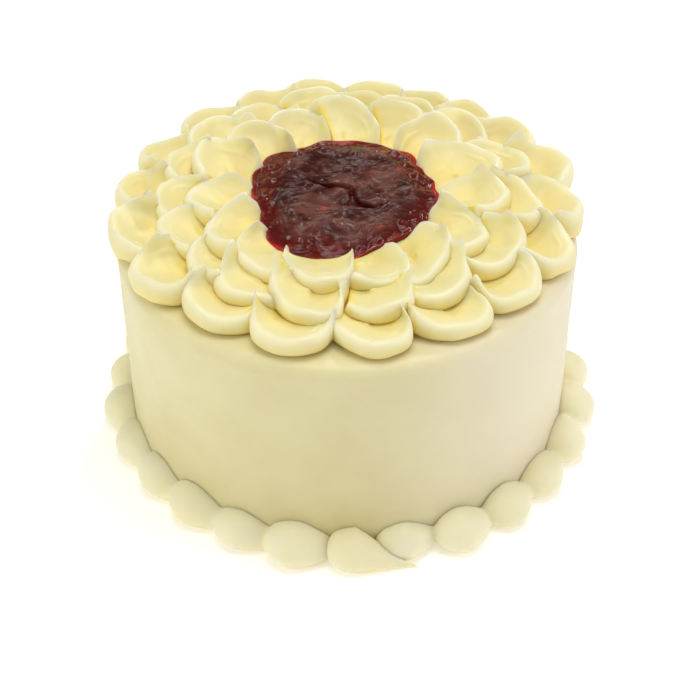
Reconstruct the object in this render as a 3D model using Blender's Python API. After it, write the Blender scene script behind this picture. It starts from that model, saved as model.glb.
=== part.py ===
"""A round iced layer cake: smooth sides, rows of scooped icing petals on top, a pool of
red jam in the middle and a border of piped shells round the foot.

Metres, +Z up, the origin at the middle of the flat underside. The cake is uncut, so it is
one solid. Every petal is a solid of its own, cut by the petal that was laid over it, and
the shells are one piped run. Neighbours keep GAP between them.
"""

import math
import random
from dataclasses import dataclass

import bmesh
import bpy
from mathutils import Matrix, Vector

# The iced cake.
CAKE_RADIUS = 0.0905
CAKE_HEIGHT = 0.0900
CAKE_SIDES = 60
EDGE_ROUND = 0.0045
GAP = 0.0003
FLAT_ANGLE = math.radians(1.0)  # facets that meet at less than this become one

# One petal: a dollop whose middle is scooped out towards the centre of the cake.
PETAL_SIDES = 14
FRONT_REACH = 0.0135  # from the middle of the scoop out to the lip
FRONT_LIP = 0.0080  # the lip is lower on the petals at the front of the cake
BACK_LIP = 0.0132
TIP_HEIGHT = 0.0146  # the rim climbs to a tip on each side of the petal
BACK_TIP = 0.0016
TIP_PLACE = math.radians(108)
TIP_SPREAD = math.radians(36)
TIP_LIFT = 0.4  # share of its row's lift that a tip takes on
TAIL_HEIGHT = 0.0040
TAIL_LIFT = 0.5
SCOOP_FLOOR = 0.0052
FRONT_SLOPE = 0.15
TAIL_SLOPE = 0.20
SCOOP_CURVE = 2.0  # above 1 the scoop is a bowl: flat in the middle and steep at the rim
BULGE = 0.0033
SIDE_BULGE = 0.0009
BULGE_LEVEL = 0.45  # share of the face's height where the outside bulges most
FOOT_REACH = -0.0004
SCOOP_STEPS = (0.62, 1.0)  # shares of the way from the middle to the lip
CLEAR_HEIGHT = 0.0250  # a petal clears what lay in its place up to this height

# Unevenness of hand work, as the greatest change either way.
TURN_SPREAD = math.radians(9)
SIZE_SPREAD = 0.07
PLACE_SPREAD = 0.0012
HEIGHT_SPREAD = 0.0010
SEED = 7
LAST_LAID = math.radians(254)  # petals nearer to here lie over those further round the ring

# The pool of jam.
JAM_CENTRE = Vector((0.0, 0.0070, CAKE_HEIGHT))
JAM_RADIUS = 0.0396
JAM_SIDES = 36
JAM_HEIGHT = 0.0112
JAM_EDGE_HEIGHT = 0.0088
JAM_WAVES = (  # lobes round the edge, their reach and where they start
    (1, 0.0027, -1.13),
    (2, 0.0030, -1.21),
    (3, 0.0019, 1.16),
    (4, 0.0015, -3.04),
    (8, 0.0008, 0.9),
    (13, 0.0006, 3.0),
)
JAM_LUMP = 0.0007

# The shells round the foot, piped anticlockwise from the first one.
SHELLS = 26
FIRST_SHELL = math.radians(284)
LAST_SHELL = FIRST_SHELL + math.radians(348)
SHELL_CENTRE = 0.0946
SHELL_SIDES = 9
SHELL_RINGS = 5
HEAD_LENGTH = 0.0120
TAIL_LENGTH = 0.0200
SHELL_HALF_WIDTH = 0.0100
SHELL_HEIGHT = 0.0148
TAIL_TAPER = 0.62  # how much of its section a shell loses by the end of its tail
SHELL_LENGTH_SPREAD = 0.10
SHELL_SIZE_SPREAD = 0.07
SHELL_PLACE_SPREAD = 0.0007
PRESSED_SIDE = math.radians(222)  # the shells sit closer to the cake around here
PRESSED_SPREAD = math.radians(36)
PRESSED_BY = 0.0040

ICING_COLOUR = (0.87, 0.80, 0.58, 1)
PETAL_COLOUR = (0.90, 0.83, 0.56, 1)
JAM_COLOUR = (0.10, 0.008, 0.010, 1)


@dataclass(frozen=True)
class Row:
    """A ring of petals: how many fit round it, the circle of their lips and which are laid."""

    name: str
    places: int
    lip_radius: float
    start_deg: float
    laid: range
    half_width: float
    tail_reach: float  # from the middle of the scoop in to the end of the tail
    centre_y: float
    lift: float  # how far the rows outside it raise the petals
    drift: tuple  # waves of the places round the ring: their number, size in degrees and turn


# From the rim inwards. The jam has run over the places that aren't laid.
ROWS = (
    Row(
        "rim_petal", 19, 0.0880, 274.7, range(19), 0.0144, 0.0150, 0.0050,
        0.0, ((1, 7.4, 0.41), (2, 1.4, -1.94)),
    ),
    Row(
        "second_petal", 17, 0.0751, 289.6, range(17), 0.0144, 0.0190, 0.0055,
        0.0030, ((1, 9.0, -1.08), (2, 4.2, -2.06)),
    ),
    Row(
        "inner_petal", 15, 0.0608, 282.5, range(15), 0.0140, 0.0190, 0.0075,
        0.0045, ((1, 2.2, -1.9), (2, 2.7, -2.53)),
    ),
)


def clear_scene():
    """Removes every object that the file opened with."""
    for obj in list(bpy.data.objects):
        bpy.data.objects.remove(obj)


def material(name, colour, roughness):
    """A plain Principled material."""
    made = bpy.data.materials.new(name)
    made.use_nodes = True
    shader = made.node_tree.nodes["Principled BSDF"]
    shader.inputs["Base Color"].default_value = colour
    shader.inputs["Roughness"].default_value = roughness
    shader.inputs["Metallic"].default_value = 0.0
    return made


def add_object(name, bm, finish):
    """A smooth-shaded object made from bm, which is freed. Its bent quads are split here, so
    that a cutter made from it later has the same facets."""
    bmesh.ops.triangulate(bm, faces=[face for face in bm.faces if len(face.verts) == 4])
    mesh = bpy.data.meshes.new(name)
    bm.to_mesh(mesh)
    bm.free()
    mesh.materials.append(finish)
    mesh.shade_smooth()
    mesh.set_sharp_from_angle(angle=math.radians(50))
    obj = bpy.data.objects.new(name, mesh)
    bpy.context.scene.collection.objects.link(obj)
    return obj


def smooth_step(low, high, value):
    """0 below low, 1 above high and a smooth rise between them."""
    share = min(1.0, max(0.0, (value - low) / (high - low)))
    return share * share * (3 - 2 * share)


def sphere_levels(bm, sides, rings):
    """A round blank of sides x rings, with each corner as (corner, level from the top, azimuth)."""
    bmesh.ops.create_uvsphere(bm, u_segments=sides, v_segments=rings, radius=1)
    for corner in bm.verts:
        level = round(math.acos(max(-1.0, min(1.0, corner.co.z))) / math.pi * rings)
        yield corner, level, math.atan2(corner.co.y, corner.co.x)


# ---------------------------------------------------------------- the cake and the jam


def cake_body(finish):
    """The iced cake: a drum with a softly rounded top edge."""
    bm = bmesh.new()
    bmesh.ops.create_cone(
        bm,
        cap_ends=True,
        segments=CAKE_SIDES,
        radius1=CAKE_RADIUS,
        radius2=CAKE_RADIUS,
        depth=CAKE_HEIGHT,
        matrix=Matrix.Translation((0, 0, CAKE_HEIGHT / 2)),
    )
    top_edges = [e for e in bm.edges if all(v.co.z > CAKE_HEIGHT - GAP for v in e.verts)]
    bmesh.ops.bevel(bm, geom=top_edges, offset=EDGE_ROUND, segments=2, profile=0.5, affect="EDGES")
    return add_object("iced_cake", bm, finish)


def jam_edge(azimuth):
    """Distance from the middle of the pool to its uneven edge."""
    return JAM_RADIUS + sum(size * math.sin(n * azimuth + turn) for n, size, turn in JAM_WAVES)


def jam_pool(finish):
    """The jam: a shallow lumpy pool standing on the cake."""
    profile = (  # share of the edge distance and height for each level from the middle out
        (0.0, JAM_HEIGHT),
        (0.40, JAM_HEIGHT),
        (0.72, JAM_HEIGHT * 0.96),
        (0.93, JAM_EDGE_HEIGHT + 0.0018),
        (1.0, JAM_EDGE_HEIGHT),
        (0.99, GAP),
        (0.0, GAP),
    )
    bm = bmesh.new()
    for corner, level, azimuth in sphere_levels(bm, JAM_SIDES, len(profile) - 1):
        share, height = profile[level]
        reach = share * jam_edge(azimuth)
        x, y = reach * math.cos(azimuth), reach * math.sin(azimuth)
        if 0 < level < 4:
            height += JAM_LUMP * (math.sin(330 * x + 1) + math.sin(410 * y + 250 * x))
        corner.co = JAM_CENTRE + Vector((x, y, height))
    return add_object("jam", bm, finish)


# ---------------------------------------------------------------- petals


def place_angle(row, place):
    """Azimuth of one place of a row, as the petals are spread by hand."""
    phase = place * math.tau / row.places
    drift = sum(size * math.sin(n * phase + turn) for n, size, turn in row.drift)
    return math.radians(row.start_deg + drift) + phase


def back_share(around):
    """0 at the front of the cake and 1 at the back."""
    return 0.5 + 0.5 * math.sin(around)


def rim_height(row, around, turn):
    """Height of a petal's rim at the angle turn from its outward direction."""
    lip = FRONT_LIP + (BACK_LIP - FRONT_LIP) * back_share(around) + row.lift
    tip = TIP_HEIGHT + BACK_TIP * back_share(around) + row.lift * TIP_LIFT
    climb = math.exp(-(((abs(turn) - TIP_PLACE) / TIP_SPREAD) ** 2))
    tail = smooth_step(math.radians(118), math.radians(165), abs(turn))
    tail_height = TAIL_HEIGHT + row.lift * TAIL_LIFT
    return (lip + (tip - lip) * climb) * (1 - tail) + tail_height * tail


def bed_height(row, forward):
    """Height of the lowest line of the scoop, which falls from the lip to the tail."""
    return SCOOP_FLOOR + row.lift + (FRONT_SLOPE if forward > 0 else TAIL_SLOPE) * forward


def petal_point(row, around, level, turn, filled):
    """A point of a petal's surface: x outwards, y across and z up from the cake's top. filled
    raises the scoop to a block above the petal, so that what it cuts is cleared over it too."""
    reach = FRONT_REACH if math.cos(turn) > 0 else row.tail_reach
    lip = Vector((reach * math.cos(turn), row.half_width * math.sin(turn), 0))
    height = rim_height(row, around, turn)
    if level < len(SCOOP_STEPS) and filled:
        return lip * (0.98 if level else 0) + Vector((0, 0, CLEAR_HEIGHT))
    if level == 0:
        return Vector((0, 0, bed_height(row, 0)))
    if level <= len(SCOOP_STEPS):
        share = SCOOP_STEPS[level - 1]
        soft = 1 - smooth_step(math.radians(45), math.radians(95), abs(turn))
        climb = share**SCOOP_CURVE * (1 + soft * SCOOP_CURVE * (1 - share))
        rise = (height - bed_height(row, lip.x)) * climb
        return lip * share + Vector((0, 0, bed_height(row, lip.x * share) + rise))
    outward = Vector((math.cos(turn), math.sin(turn), 0)) * (1 - smooth_step(1.9, 2.6, abs(turn)))
    if level == len(SCOOP_STEPS) + 1:
        front = 1 - smooth_step(math.radians(50), math.radians(100), abs(turn))
        bulge = SIDE_BULGE + (BULGE - SIDE_BULGE) * front
        middle = row.lift + (height - row.lift) * BULGE_LEVEL
        return lip + outward * bulge + Vector((0, 0, middle))
    if level == len(SCOOP_STEPS) + 2:
        return lip + outward * FOOT_REACH
    return Vector((0, 0, 0))


def petal_stand(row, place, draw):
    """Where one petal of a row stands, and how it is turned and stretched."""
    around = place_angle(row, place)
    size = 1 + draw.uniform(-SIZE_SPREAD, SIZE_SPREAD)
    turn = draw.uniform(-TURN_SPREAD, TURN_SPREAD)
    lip_radius = row.lip_radius + draw.uniform(-PLACE_SPREAD, PLACE_SPREAD)
    taller = 1 + draw.uniform(-HEIGHT_SPREAD, HEIGHT_SPREAD) / BACK_LIP
    middle = Vector((0, row.centre_y, CAKE_HEIGHT + GAP))
    out = Vector((math.cos(around), math.sin(around), 0))
    return (
        Matrix.Translation(middle + out * (lip_radius - FRONT_REACH))
        @ Matrix.Rotation(around + turn, 4, "Z")
        @ Matrix.Diagonal((size, size, taller, 1))
    )


def petal(row, place, stand, finish, filled=False):
    """One whole petal, or the block that clears the room it takes."""
    bm = bmesh.new()
    rings = len(SCOOP_STEPS) + 3
    around = place_angle(row, place)
    for corner, level, azimuth in sphere_levels(bm, PETAL_SIDES, rings):
        corner.co = stand @ petal_point(row, around, level, azimuth, filled)
    return add_object(f"{row.name}_{place % row.places:02d}", bm, finish)


# ---------------------------------------------------------------- cutting pieces apart


def as_cutter(obj):
    """Turns obj into a helper that the build leaves out, grown by a little over GAP."""
    normals = [vertex.normal.copy() for vertex in obj.data.vertices]
    for vertex, normal in zip(obj.data.vertices, normals):
        vertex.co += normal * GAP * 1.5
    obj.name = f"cutter_{obj.name}"
    obj.hide_render = True
    obj.display_type = "WIRE"
    return obj


def boolean(obj, operation, others, solver="EXACT"):
    """Applies one Boolean of a whole collection of others to obj."""
    group = bpy.data.collections.new("operands")
    for other in others:
        group.objects.link(other)
    cut = obj.modifiers.new(operation.title(), "BOOLEAN")
    cut.operation = operation
    cut.operand_type = "COLLECTION"
    cut.collection = group
    cut.solver = solver
    evaluated = obj.evaluated_get(bpy.context.evaluated_depsgraph_get())
    result = bpy.data.meshes.new_from_object(evaluated)
    obj.modifiers.clear()
    bpy.data.collections.remove(group)
    old = obj.data
    obj.data = result
    bpy.data.meshes.remove(old)


def tidy_body(obj):
    """Drops the scraps that a cut leaves beside the largest body, and joins its flat facets."""
    bm = bmesh.new()
    bm.from_mesh(obj.data)
    left = dict.fromkeys(bm.faces)
    bodies = []
    while left:
        todo = [left.popitem()[0]]
        body = list(todo)
        while todo:
            for edge in todo.pop().edges:
                for face in edge.link_faces:
                    if face in left:
                        del left[face]
                        todo.append(face)
                        body.append(face)
        bodies.append(body)
    bodies.sort(key=lambda body: sum(face.calc_area() for face in body))
    scraps = [face for body in bodies[:-1] for face in body]
    bmesh.ops.delete(bm, geom=scraps, context="FACES")
    bmesh.ops.dissolve_limit(bm, angle_limit=FLAT_ANGLE, verts=bm.verts, edges=bm.edges)
    bmesh.ops.triangulate(bm, faces=bm.faces)
    bm.to_mesh(obj.data)
    bm.free()


def cut_by(obj, others):
    """Cuts obj where the others lie over it."""
    if others:
        boolean(obj, "DIFFERENCE", others, "MANIFOLD")
        tidy_body(obj)


def near(obj, others):
    """Those of the others whose boxes come near obj's."""
    def box(o):
        corners = [vertex.co for vertex in o.data.vertices]
        return [(min(c[i] for c in corners), max(c[i] for c in corners)) for i in range(3)]

    mine = box(obj)
    return [
        other
        for other in others
        if all(a[0] < b[1] and b[0] < a[1] for a, b in zip(mine, box(other)))
    ]


def lies_over(row, place, other):
    """Whether the petal at place was laid over the one at other, beside it in the same row."""
    def nearness(number):
        return math.cos(place_angle(row, number) - LAST_LAID)

    return nearness(place) > nearness(other)


def petal_rows(finish):
    """All petals, each cut by the neighbours laid over it, by the rows inside it and the jam."""
    draw = random.Random(SEED)
    stands = [{place: petal_stand(row, place, draw) for place in row.laid} for row in ROWS]
    over = [as_cutter(jam_pool(finish))]
    for row, row_stands in zip(reversed(ROWS), reversed(stands)):
        cutters = {
            place: as_cutter(petal(row, place, stand, finish, filled=True))
            for place, stand in row_stands.items()
        }
        for place, stand in row_stands.items():
            whole = petal(row, place, stand, finish)
            beside = [place - 1, place + 1]
            if len(row_stands) == row.places:
                beside = [number % row.places for number in beside]
            upper = [
                cutters[other]
                for other in beside
                if other in cutters and lies_over(row, other, place)
            ]
            cut_by(whole, near(whole, over + upper))
        over += cutters.values()
    for cutter in over:
        bpy.data.objects.remove(cutter)


# ---------------------------------------------------------------- the shell border


def shell(angle, draw, finish):
    """One piped shell: a round head, a tail that the next head covers, and an inner side
    flat against the cake."""
    length = 1 + draw.uniform(-SHELL_LENGTH_SPREAD, SHELL_LENGTH_SPREAD)
    size = 1 + draw.uniform(-SHELL_SIZE_SPREAD, SHELL_SIZE_SPREAD)
    off_side = math.remainder(angle - PRESSED_SIDE, math.tau) / PRESSED_SPREAD
    radius = SHELL_CENTRE - PRESSED_BY * math.exp(-(off_side**2))
    radius += draw.uniform(-SHELL_PLACE_SPREAD, SHELL_PLACE_SPREAD)
    bm = bmesh.new()
    bmesh.ops.create_uvsphere(bm, u_segments=SHELL_SIDES, v_segments=SHELL_RINGS, radius=1)
    lie_down = Matrix.Rotation(math.radians(90), 4, "Y")
    for corner in bm.verts:
        x, y, z = lie_down @ corner.co
        along = x * (TAIL_LENGTH if x > 0 else HEAD_LENGTH) * length
        taper = 1 - TAIL_TAPER * max(0.0, x) ** 1.6
        across = y * SHELL_HALF_WIDTH * size * taper
        up = max(0.0, SHELL_HEIGHT * size * taper * (0.42 + 0.58 * z))
        bend = angle + along / radius
        reach = max(radius - across, CAKE_RADIUS + GAP)
        corner.co = (reach * math.cos(bend), reach * math.sin(bend), up)
    return add_object("shell", bm, finish)


def shell_border(finish):
    """The whole border: the shells fused to each other."""
    draw = random.Random(SEED)
    step = (LAST_SHELL - FIRST_SHELL) / (SHELLS - 1)
    shells = [shell(FIRST_SHELL + place * step, draw, finish) for place in range(SHELLS)]
    border, others = shells[0], shells[1:]
    border.name = "shell_border"
    boolean(border, "UNION", others, "MANIFOLD")
    tidy_body(border)
    for other in others:
        bpy.data.objects.remove(other)


def main():
    """Builds the cake from the inside out."""
    clear_scene()
    icing = material("icing", ICING_COLOUR, 0.55)
    petal_icing = material("petal_icing", PETAL_COLOUR, 0.50)
    red_jam = material("jam", JAM_COLOUR, 0.15)
    cake_body(icing)
    jam_pool(red_jam)
    petal_rows(petal_icing)
    shell_border(icing)


if __name__ == "__main__":
    main()
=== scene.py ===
"""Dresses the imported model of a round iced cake.

The drum, every scooped petal, the pool of jam and the piped border are modelled again at full
detail over their plain solids, and seeds are added to the jam. Metres, +Z up, in the frame of
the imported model.
"""

import logging
import math
import random
from dataclasses import dataclass, field
from enum import Enum
from typing import Callable

import bpy
import numpy as np
from mathutils import Matrix, Vector, noise
from mathutils.bvhtree import BVHTree

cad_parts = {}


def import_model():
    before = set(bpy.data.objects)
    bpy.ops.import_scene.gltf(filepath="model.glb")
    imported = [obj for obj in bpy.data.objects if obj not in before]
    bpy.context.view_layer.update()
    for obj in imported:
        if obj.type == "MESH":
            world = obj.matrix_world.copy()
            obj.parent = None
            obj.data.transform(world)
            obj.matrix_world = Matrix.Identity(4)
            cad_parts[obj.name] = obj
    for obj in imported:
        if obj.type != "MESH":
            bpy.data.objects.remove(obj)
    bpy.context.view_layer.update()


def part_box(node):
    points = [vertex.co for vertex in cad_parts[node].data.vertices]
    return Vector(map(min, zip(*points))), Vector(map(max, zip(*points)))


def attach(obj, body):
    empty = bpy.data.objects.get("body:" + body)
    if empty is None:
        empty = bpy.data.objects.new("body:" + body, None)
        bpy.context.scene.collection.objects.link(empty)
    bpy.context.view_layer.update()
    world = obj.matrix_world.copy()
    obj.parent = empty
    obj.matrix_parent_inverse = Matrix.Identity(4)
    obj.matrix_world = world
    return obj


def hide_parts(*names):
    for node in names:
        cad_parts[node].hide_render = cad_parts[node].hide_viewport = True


LOG = logging.getLogger("iced_cake")
BODY = "root"
MM = 0.001

Colour = tuple[float, float, float, float]
Triple = tuple[float, float, float]


class Slot(Enum):
    """The record's material slots."""

    ICING = "icing"
    PETAL = "petal_icing"
    JAM = "jam"


# ---------------------------------------------------------------- mesh helpers


def select_only(*objects: bpy.types.Object) -> None:
    """Deselects everything, then selects the given objects and makes the first one active.

    Args:
        objects: The objects to select. With none, nothing is left selected.
    """
    bpy.ops.object.select_all(action="DESELECT")
    for obj in objects:
        obj.select_set(True)
    if objects:
        bpy.context.view_layer.objects.active = objects[0]


def new_sphere(name: str, segments: int, rings: int) -> bpy.types.Object:
    """Adds a unit UV sphere that is shaped afterwards.

    Args:
        name: Name of the object and of its mesh.
        segments: Number of faces round it.
        rings: Number of faces from pole to pole.

    Returns:
        The new object, selected and active.
    """
    select_only()
    bpy.ops.mesh.primitive_uv_sphere_add(segments=segments, ring_count=rings, radius=1)
    made = bpy.context.active_object
    made.name = made.data.name = name
    return made


def points_of(obj: bpy.types.Object) -> np.ndarray:
    """Reads the places of an object's vertices.

    Args:
        obj: The object to read.

    Returns:
        Places of shape (n, 3).
    """
    flat = np.empty(len(obj.data.vertices) * 3)
    obj.data.vertices.foreach_get("co", flat)
    return flat.reshape(-1, 3)


def set_points(obj: bpy.types.Object, points: np.ndarray) -> None:
    """Moves an object's vertices to the given places."""
    obj.data.vertices.foreach_set("co", np.ascontiguousarray(points, dtype=np.float64).ravel())
    obj.data.update()


def set_mask(obj: bpy.types.Object, name: str, values: np.ndarray) -> None:
    """Stores one number for each vertex as an attribute that materials read."""
    layer = obj.data.attributes.new(name, "FLOAT", "POINT")
    layer.data.foreach_set("value", np.clip(values, 0, 1).astype(np.float32))


def level_and_turn(points: np.ndarray, rings: int) -> tuple[np.ndarray, np.ndarray]:
    """Splits a unit sphere's vertices into rings.

    Args:
        points: Vertices of a unit sphere.
        rings: Number of faces from pole to pole.

    Returns:
        The number of each vertex's ring, from 0 at the upper pole, and its azimuth.
    """
    level = np.arccos(np.clip(points[:, 2], -1, 1)) / math.pi * rings
    return np.rint(level).astype(int), np.arctan2(points[:, 1], points[:, 0])


def rise(low: float, high: float, value: np.ndarray) -> np.ndarray:
    """Returns 0 below low, 1 above high and a smooth rise between them."""
    share = np.clip((value - low) / (high - low), 0, 1)
    return share * share * (3 - 2 * share)


def bell(value: np.ndarray, centre: float, spread: float) -> np.ndarray:
    """Returns a bell curve of height 1 round centre."""
    return np.exp(-(((value - centre) / spread) ** 2))


def polar(reach: np.ndarray, turn: np.ndarray, height: np.ndarray) -> np.ndarray:
    """Turns distances from the axis, azimuths and heights into places of shape (n, 3)."""
    return np.column_stack((reach * np.cos(turn), reach * np.sin(turn), height))


def clouds(points: np.ndarray, scale: float, shift: float = 0.0) -> np.ndarray:
    """Evaluates smooth noise at each point.

    Args:
        points: Places of shape (n, 3), in metres.
        scale: Size of the noise's features, in metres.
        shift: Moves the pattern, so that each use gets its own.

    Returns:
        Values between about -1 and 1.
    """
    offset = Vector((shift, 1.7 * shift, 0.6 * shift))
    return np.array([noise.noise(Vector(point) / scale + offset) for point in points])


def swell(obj: bpy.types.Object, scale: float, strength: float) -> None:
    """Moves a surface in and out by soft noise, so that nothing on it is too regular.

    Args:
        obj: The piece to change.
        scale: Size of the noise's features, in metres.
        strength: Distance from the deepest to the highest place, in metres.
    """
    texture = bpy.data.textures.new(f"{obj.name}_swell", "CLOUDS")
    texture.noise_scale = scale
    texture.noise_depth = 1
    change = obj.modifiers.new("swell", "DISPLACE")
    change.texture = texture
    change.texture_coords = "LOCAL"
    change.strength = strength
    change.mid_level = 0.5
    apply_modifiers(obj)
    bpy.data.textures.remove(texture)


def apply_modifiers(obj: bpy.types.Object) -> None:
    """Applies all modifiers of an object in order.

    Args:
        obj: The object, which is left selected and active.
    """
    select_only(obj)
    for modifier in list(obj.modifiers):
        bpy.ops.object.modifier_apply(modifier=modifier.name)


def join(name: str, parts: list[bpy.types.Object]) -> bpy.types.Object:
    """Joins several objects into one.

    Args:
        name: Name of the joined object and of its mesh.
        parts: The objects to join, each with a mesh of its own.

    Returns:
        The joined object.
    """
    select_only(*parts)
    bpy.ops.object.join()
    parts[0].name = parts[0].data.name = name
    return parts[0]


def hand_over(piece: bpy.types.Object, finish: bpy.types.Material, slot: Slot, *nodes: str) -> None:
    """Shades a finished piece smooth, dresses it and sets it on the cake's body.

    Args:
        piece: The finished piece.
        finish: Its material.
        slot: The record's slot for the piece. Not used.
        nodes: The plain solids that it stands for, if any.
    """
    select_only(piece)
    bpy.ops.object.shade_smooth()
    piece.data.materials.clear()
    piece.data.materials.append(finish)
    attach(piece, BODY)
    if nodes:
        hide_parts(*nodes)


# ---------------------------------------------------------------- finishes


class Tree:
    """A short way to write a shader node tree."""

    def __init__(self, tree: bpy.types.NodeTree) -> None:
        """Keeps the tree and clears it."""
        self.tree = tree
        tree.nodes.clear()

    def add(self, kind: str, **values: object) -> bpy.types.Node:
        """Adds a node.

        Args:
            kind: Type of the node, such as ShaderNodeMix.
            values: Its properties. One whose name starts with in_ sets or links the input of
                the rest of the name, with underscores read as spaces, or of that number.

        Returns:
            The new node.
        """
        node = self.tree.nodes.new(kind)
        for name, value in values.items():
            if not name.startswith("in_"):
                setattr(node, name, value)
        for name, value in values.items():
            if name.startswith("in_"):
                key = name[3:]
                socket = node.inputs[int(key) if key.isdigit() else key.replace("_", " ")]
                if isinstance(value, bpy.types.NodeSocket):
                    self.tree.links.new(value, socket)
                else:
                    socket.default_value = value
        return node

    @classmethod
    def of_material(cls, name: str) -> tuple[bpy.types.Material, "Tree"]:
        """Makes an empty material.

        Args:
            name: Name of the material.

        Returns:
            The material and its node tree.
        """
        made = bpy.data.materials.new(name)
        made.use_nodes = True
        return made, cls(made.node_tree)

    def shade(self, **values: object) -> None:
        """Adds a Principled shader with the given inputs, and the material's output."""
        shader = self.add("ShaderNodeBsdfPrincipled", **values)
        self.add("ShaderNodeOutputMaterial", in_0=shader.outputs[0])

    def place(self) -> bpy.types.NodeSocket:
        """Reads the place in the object's own coordinates."""
        return self.add("ShaderNodeTexCoord").outputs["Object"]

    def mask(self, name: str) -> bpy.types.NodeSocket:
        """Reads one of the piece's vertex masks."""
        return self.add("ShaderNodeAttribute", attribute_name=name).outputs["Fac"]

    def math(self, operation: str, *values: object) -> bpy.types.NodeSocket:
        """Adds a Math node and returns its output."""
        inputs = {f"in_{place}": value for place, value in enumerate(values)}
        return self.add("ShaderNodeMath", operation=operation, **inputs).outputs[0]

    def blend(self, share: object, low: object, high: object) -> bpy.types.NodeSocket:
        """Mixes two colours and returns the result."""
        node = self.add("ShaderNodeMix", data_type="RGBA", in_0=share, in_6=low, in_7=high)
        return node.outputs[2]

    def noise(
        self, place: object, scale: float, detail: float, **more: object
    ) -> bpy.types.NodeSocket:
        """Adds a Noise node and returns its value."""
        inputs = {"in_Vector": place, "in_Scale": scale, "in_Detail": detail, **more}
        return self.add("ShaderNodeTexNoise", **inputs).outputs[0]

    def bump(self, height: object, distance: float) -> bpy.types.NodeSocket:
        """Adds relief and returns the surface's new normal."""
        inputs = {"in_Height": height, "in_Distance": distance, "in_Strength": 1.0}
        return self.add("ShaderNodeBump", **inputs).outputs[0]

    def span(self, value: object, low: float, high: float, *to: float) -> bpy.types.NodeSocket:
        """Maps one range of a value to another.

        Args:
            value: The value to map.
            low: Where its range starts.
            high: Where its range ends.
            to: Start and end of the new range, which is 0 to 1 if they are left out.

        Returns:
            The mapped value, kept inside the new range.
        """
        start, end = to or (0.0, 1.0)
        node = self.add(
            "ShaderNodeMapRange", in_0=value, in_1=low, in_2=high, in_3=start, in_4=end
        )
        return node.outputs[0]


def whipped_group() -> bpy.types.NodeTree:
    """Makes the group for the surface of whipped icing.

    Returns:
        A group that turns a place into a soft tone, the relief of strokes and fine grain, and
        a mask of small air holes.
    """
    name = "whipped_surface"
    if name in bpy.data.node_groups:
        return bpy.data.node_groups[name]
    group = bpy.data.node_groups.new(name, "ShaderNodeTree")
    side = group.interface
    side.new_socket("Place", in_out="INPUT", socket_type="NodeSocketVector")
    side.new_socket("Stroke Place", in_out="INPUT", socket_type="NodeSocketVector")
    for socket in ("Tone", "Relief", "Holes"):
        side.new_socket(socket, in_out="OUTPUT", socket_type="NodeSocketFloat")
    tree = Tree(group)
    given = tree.add("NodeGroupInput")
    place, stroke = given.outputs[0], given.outputs[1]
    patches = tree.noise(place, 38.0, 3.0)
    strokes = tree.noise(stroke, 1.0, 4.0, in_Roughness=0.6)
    grain = tree.noise(place, 900.0, 2.0)
    cells = tree.add("ShaderNodeTexVoronoi", in_Vector=place, in_Scale=115.0, in_Randomness=1.0)
    sparse = tree.noise(place, 60.0, 1.0)
    dots = tree.span(cells.outputs["Distance"], 0.03, 0.06, 1.0, 0.0)
    some = tree.span(sparse, 0.66, 0.70)
    holes = tree.math("MULTIPLY", dots, some)
    relief = tree.math("MULTIPLY_ADD", strokes, 0.8, patches)
    relief = tree.math("MULTIPLY_ADD", grain, 0.10, relief)
    relief = tree.math("MULTIPLY_ADD", holes, -0.5, relief)
    tree.add("NodeGroupOutput", in_0=patches, in_1=relief, in_2=holes)
    return group


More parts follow.
